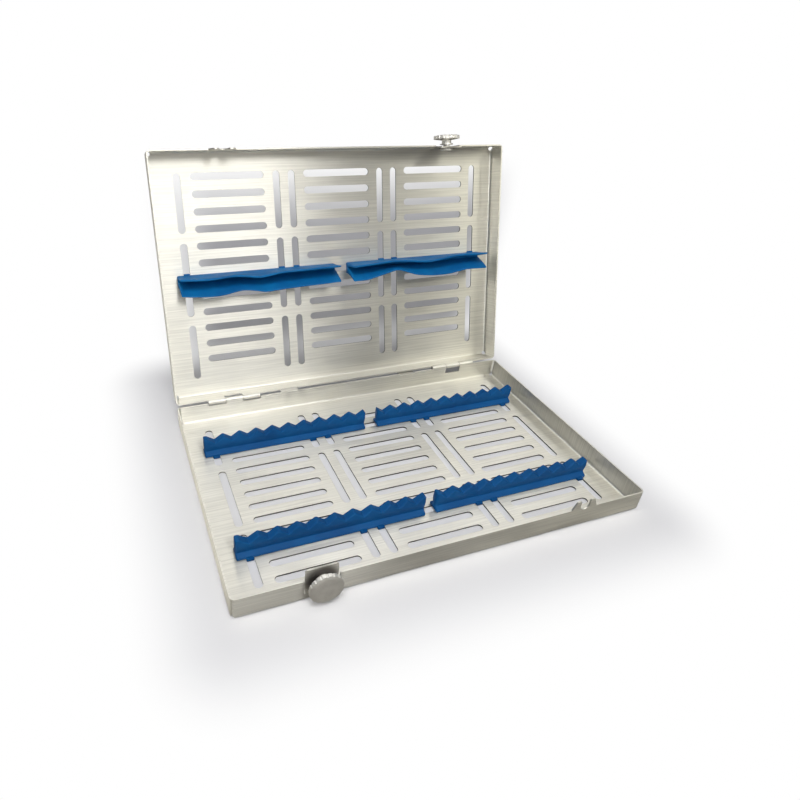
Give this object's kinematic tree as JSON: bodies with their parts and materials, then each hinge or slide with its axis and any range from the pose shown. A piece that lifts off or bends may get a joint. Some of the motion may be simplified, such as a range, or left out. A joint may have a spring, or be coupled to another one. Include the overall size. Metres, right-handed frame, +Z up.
{
  "type": "instrument cassette",
  "caption": "Open hinged sterilisation cassette of slotted steel sheet, with grooved soft rails in the tray, V strips in the lid and thumb-knob latches at the front.",
  "frame": {"origin": "on the underside of the tray's floor sheet that it stands on, midway between its sides, in the bar just behind the middle row of slots", "axes": "+X to the right seen from the front, +Y from the latch side to the hinge side, +Z up"},
  "size_m": [0.28, 0.2527, 0.1982],
  "materials": {
    "satin_steel": "satin",
    "turned_steel": "turned",
    "polished_steel": "polished",
    "blue_silicone": "soft satin"
  },
  "bodies": {
    "tray": {"tray_shell": "satin_steel", "rear_left_rail": "blue_silicone", "rear_right_rail": "blue_silicone", "front_left_rail": "blue_silicone", "front_right_rail": "blue_silicone", "left_hinge_pin": "turned_steel", "right_hinge_pin": "turned_steel", "tray_latch_stud": "turned_steel"},
    "lid": {"lid_shell": "satin_steel", "lid_left_strip": "blue_silicone", "lid_right_strip": "blue_silicone", "lid_latch_stud": "turned_steel"},
    "tray_washer": {"tray_clamp_washer": "turned_steel"},
    "tray_knob": {"tray_thumb_knob": "polished_steel"},
    "lid_washer": {"lid_clamp_washer": "turned_steel"},
    "lid_knob": {"lid_thumb_knob": "polished_steel"}
  },
  "joints": [
    {"name": "lid_hinge", "type": "hinge", "parent": "tray", "child": "lid", "pos_m": [0, 0.08475, 0.01565], "axis": [1, 0, 0], "range_deg": [0, 106]},
    {"name": "tray_clamp", "type": "slide", "parent": "tray", "child": "tray_washer", "axis": [0, -1, 0], "range_m": [-0.00024, 0.00114]},
    {"name": "tray_knob_turn", "type": "hinge", "parent": "tray_washer", "child": "tray_knob", "pos_m": [-0.089, -0.09725, 0.0134], "axis": [0, -1, 0], "range_deg": [-120, 580]},
    {"name": "lid_clamp", "type": "slide", "parent": "lid", "child": "lid_washer", "axis": [0, 0.2756, 0.9613], "range_m": [-0.00024, 0.00114]},
    {"name": "lid_knob_turn", "type": "hinge", "parent": "lid_washer", "child": "lid_knob", "pos_m": [0.089, 0.13708, 0.18998], "axis": [0, 0.2756, 0.9613], "range_deg": [-120, 580]}
  ],
  "couplings": [
    {"joint": "tray_clamp", "follows": "tray_knob_turn", "m_per_rad": 0.00011141},
    {"joint": "lid_clamp", "follows": "lid_knob_turn", "m_per_rad": 0.00011141}
  ]
}
